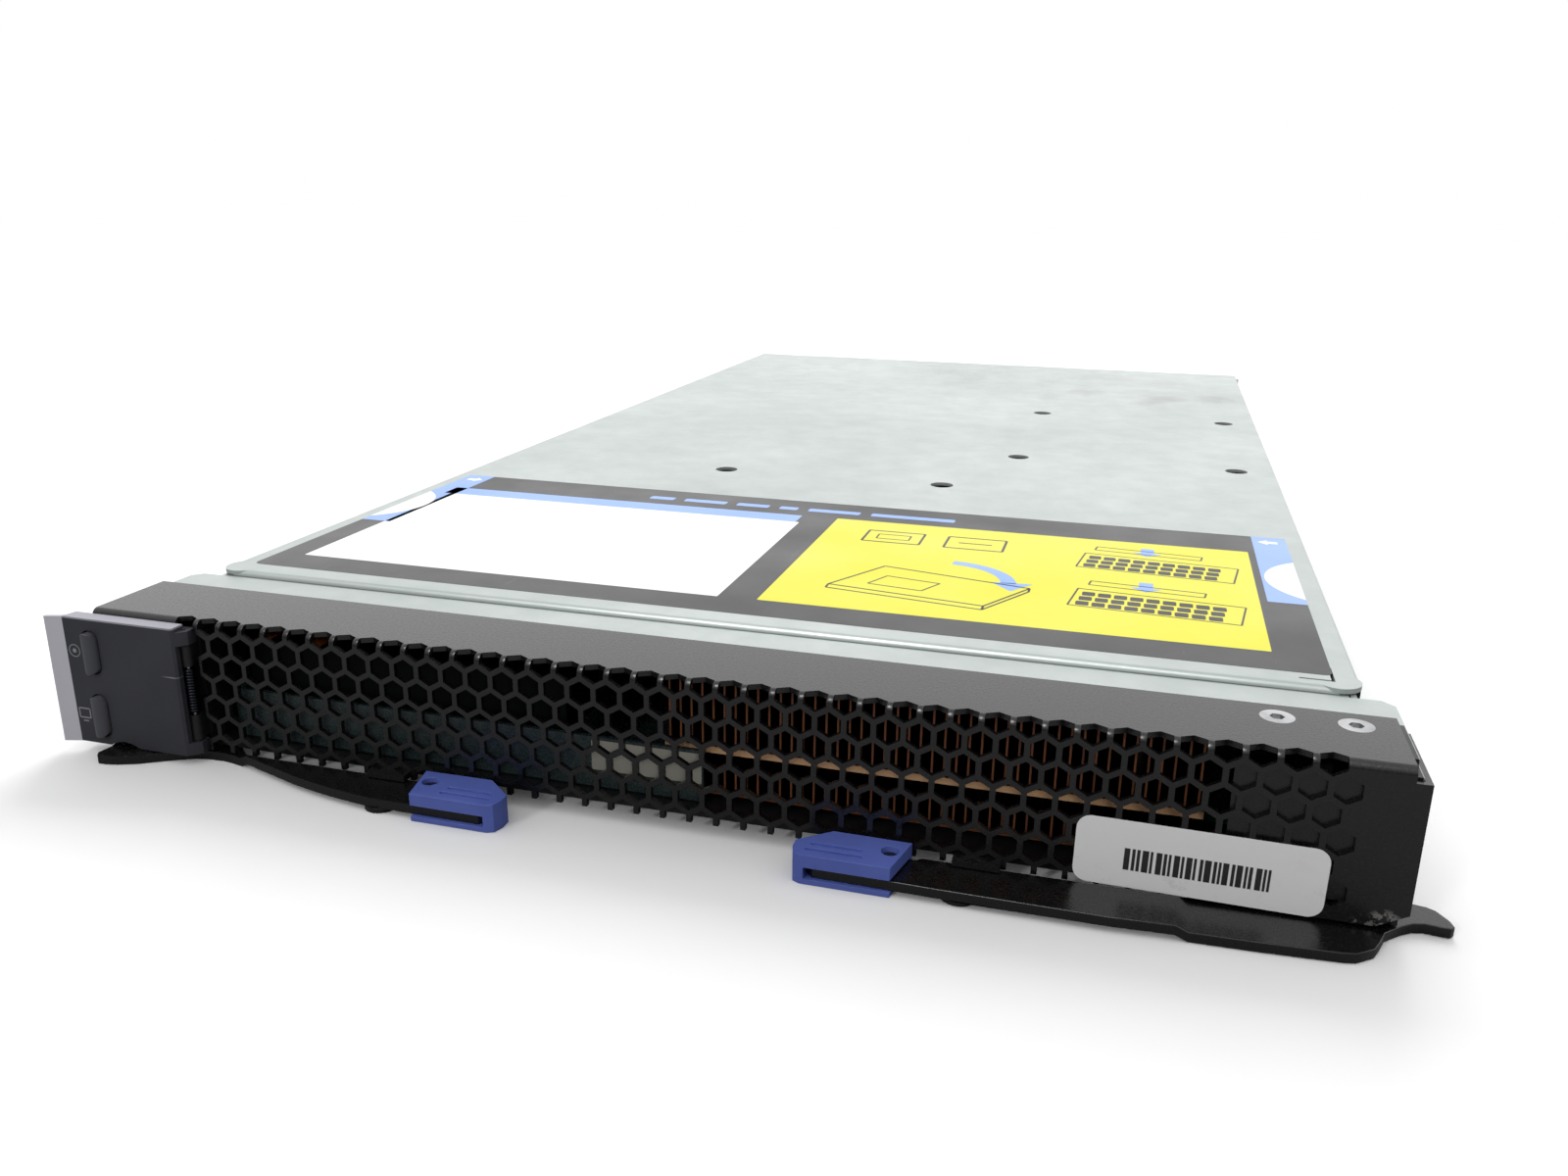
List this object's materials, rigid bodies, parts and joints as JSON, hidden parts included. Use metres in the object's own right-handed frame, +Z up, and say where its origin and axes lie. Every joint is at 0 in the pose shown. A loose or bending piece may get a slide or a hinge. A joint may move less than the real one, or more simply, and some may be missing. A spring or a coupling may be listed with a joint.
{
  "type": "blade server",
  "caption": "Shallow metal blade with a perforated black front, two swing-out release levers, a sprung panel door and a hinged top cover over its board.",
  "frame": {"origin": "centre of the flat underside of the base, which is also the rest plane", "axes": "+X to the right seen from the front, +Y from the bezel towards the rear connectors, +Z up"},
  "size_m": [0.2604, 0.4564, 0.0297],
  "materials": {
    "galvanised_steel": "smooth galvanised sheet with handling smudges",
    "black_painted_steel": "fine-textured black powder coat, worn at the edges",
    "steel_hardware": "zinc-plated",
    "spring_steel": "bright drawn wire",
    "circuit_board": "green solder mask",
    "connector_plastic": "moulded, matt",
    "nickel_lid": "nickel-plated lid",
    "copper": "bare copper, lightly tarnished",
    "natural_plastic": "moulded",
    "dark_tray_steel": "dark grey coat",
    "drive_aluminium": "cast and machined",
    "blue_plastic": "moulded, satin",
    "battery_steel": "nickel-plated can",
    "sink_aluminium": "extruded",
    "coil_ferrite": "pressed ferrite",
    "capacitor_sleeve": "sleeved can",
    "panel_plastic": "moulded, fine grain",
    "button_white": "moulded, satin",
    "door_plastic": "moulded, fine grain",
    "button_grey": "moulded, satin"
  },
  "bodies": {
    "blade": {"chassis_tray": "galvanised_steel", "front_top_rail": "galvanised_steel", "front_bezel": "black_painted_steel", "bezel_screws": "steel_hardware", "system_board": "circuit_board", "board_standoffs": "steel_hardware", "board_screws": "steel_hardware", "cpu_socket_front": "connector_plastic", "cpu_socket_rear": "connector_plastic", "processor_front": "nickel_lid", "processor_rear": "nickel_lid", "heat_sink_front": "copper", "heat_sink_rear": "copper", "heat_sink_screws": "steel_hardware", "dimm_socket_1": "connector_plastic", "dimm_socket_2": "connector_plastic", "dimm_socket_3": "connector_plastic", "dimm_socket_4": "connector_plastic", "memory_module_1": "circuit_board", "memory_module_2": "circuit_board", "memory_module_3": "circuit_board", "memory_module_4": "circuit_board", "drive_tray_front": "dark_tray_steel", "drive_tray_rear": "dark_tray_steel", "hard_drive_front": "drive_aluminium", "hard_drive_rear": "drive_aluminium", "drive_connectors": "connector_plastic", "midplane_connectors": "connector_plastic", "battery_holder": "connector_plastic", "battery": "battery_steel", "chipset_heat_sink": "sink_aluminium", "regulator_coils": "coil_ferrite", "board_capacitors": "capacitor_sleeve", "operator_panel": "panel_plastic", "door_pin": "steel_hardware", "door_spring": "spring_steel", "lever_pivots": "steel_hardware", "cover_studs": "steel_hardware"},
    "cover": {"top_cover": "galvanised_steel"},
    "left_lever": {"lever_left": "black_painted_steel", "lever_tip_left": "blue_plastic"},
    "right_lever": {"lever_right": "black_painted_steel", "lever_tip_right": "blue_plastic"},
    "door": {"panel_door": "door_plastic"},
    "disc_button": {"disc_select_button": "button_grey"},
    "console_button": {"console_select_button": "button_grey"},
    "power_key": {"power_button": "button_white"},
    "left_cover_latch": {"cover_latch_left": "blue_plastic"},
    "right_cover_latch": {"cover_latch_right": "blue_plastic"},
    "front_drive_lever": {"drive_lever_front": "blue_plastic"},
    "rear_drive_lever": {"drive_lever_rear": "blue_plastic"},
    "memory_latch_1_left": {"dimm_latch_1_left": "natural_plastic"},
    "memory_latch_1_right": {"dimm_latch_1_right": "natural_plastic"},
    "memory_latch_2_left": {"dimm_latch_2_left": "natural_plastic"},
    "memory_latch_2_right": {"dimm_latch_2_right": "natural_plastic"},
    "memory_latch_3_left": {"dimm_latch_3_left": "natural_plastic"},
    "memory_latch_3_right": {"dimm_latch_3_right": "natural_plastic"},
    "memory_latch_4_left": {"dimm_latch_4_left": "natural_plastic"},
    "memory_latch_4_right": {"dimm_latch_4_right": "natural_plastic"}
  },
  "joints": [
    {"name": "cover_hinge", "type": "hinge", "parent": "blade", "child": "cover", "pos_m": [0, 0.195, 0.0255], "axis": [-1, 0, 0], "range_deg": [0, 80]},
    {"name": "left_lever_hinge", "type": "hinge", "parent": "blade", "child": "left_lever", "pos_m": [-0.108, -0.232, 0.002], "axis": [0, 0, -1], "range_deg": [0, 85]},
    {"name": "right_lever_hinge", "type": "hinge", "parent": "blade", "child": "right_lever", "pos_m": [0.108, -0.232, 0.002], "axis": [0, 0, 1], "range_deg": [0, 85]},
    {"name": "door_hinge", "type": "hinge", "parent": "blade", "child": "door", "pos_m": [-0.0994, -0.2416, 0.015], "axis": [0, 0, 1], "range_deg": [0, 90], "stiffness_Nm_per_rad": 0.02, "springref_deg": -20.05},
    {"name": "disc_button_travel", "type": "slide", "parent": "door", "child": "disc_button", "axis": [0, 1, 0], "range_m": [0, 0.0008], "stiffness_N_per_m": 400},
    {"name": "console_button_travel", "type": "slide", "parent": "door", "child": "console_button", "axis": [0, 1, 0], "range_m": [0, 0.0008], "stiffness_N_per_m": 400},
    {"name": "power_button_travel", "type": "slide", "parent": "blade", "child": "power_key", "axis": [0, 1, 0], "range_m": [0, 0.001], "stiffness_N_per_m": 400},
    {"name": "left_cover_latch_travel", "type": "slide", "parent": "blade", "child": "left_cover_latch", "axis": [1, 0, 0], "range_m": [0, 0.0025], "stiffness_N_per_m": 600},
    {"name": "right_cover_latch_travel", "type": "slide", "parent": "blade", "child": "right_cover_latch", "axis": [-1, 0, 0], "range_m": [0, 0.0025], "stiffness_N_per_m": 600},
    {"name": "front_drive_lever_hinge", "type": "hinge", "parent": "blade", "child": "front_drive_lever", "pos_m": [-0.013, -0.1438, 0.009], "axis": [0, 0, 1], "range_deg": [0, 30]},
    {"name": "rear_drive_lever_hinge", "type": "hinge", "parent": "blade", "child": "rear_drive_lever", "pos_m": [-0.013, -0.0258, 0.009], "axis": [0, 0, 1], "range_deg": [0, 30]},
    {"name": "memory_latch_1_left_hinge", "type": "hinge", "parent": "blade", "child": "memory_latch_1_left", "pos_m": [-0.0927, 0.01489, 0.01072], "axis": [0, -0.4695, 0.8829], "range_deg": [0, 35]},
    {"name": "memory_latch_1_right_hinge", "type": "hinge", "parent": "blade", "child": "memory_latch_1_right", "pos_m": [0.0447, 0.01489, 0.01072], "axis": [0, 0.4695, -0.8829], "range_deg": [0, 35]},
    {"name": "memory_latch_2_left_hinge", "type": "hinge", "parent": "blade", "child": "memory_latch_2_left", "pos_m": [-0.0927, 0.03388, 0.01072], "axis": [0, -0.4695, 0.8829], "range_deg": [0, 35]},
    {"name": "memory_latch_2_right_hinge", "type": "hinge", "parent": "blade", "child": "memory_latch_2_right", "pos_m": [0.0447, 0.03388, 0.01072], "axis": [0, 0.4695, -0.8829], "range_deg": [0, 35]},
    {"name": "memory_latch_3_left_hinge", "type": "hinge", "parent": "blade", "child": "memory_latch_3_left", "pos_m": [-0.0927, 0.05289, 0.01072], "axis": [0, -0.4695, 0.8829], "range_deg": [0, 35]},
    {"name": "memory_latch_3_right_hinge", "type": "hinge", "parent": "blade", "child": "memory_latch_3_right", "pos_m": [0.0447, 0.05289, 0.01072], "axis": [0, 0.4695, -0.8829], "range_deg": [0, 35]},
    {"name": "memory_latch_4_left_hinge", "type": "hinge", "parent": "blade", "child": "memory_latch_4_left", "pos_m": [-0.0927, 0.07189, 0.01072], "axis": [0, -0.4695, 0.8829], "range_deg": [0, 35]},
    {"name": "memory_latch_4_right_hinge", "type": "hinge", "parent": "blade", "child": "memory_latch_4_right", "pos_m": [0.0447, 0.07189, 0.01072], "axis": [0, 0.4695, -0.8829], "range_deg": [0, 35]}
  ]
}
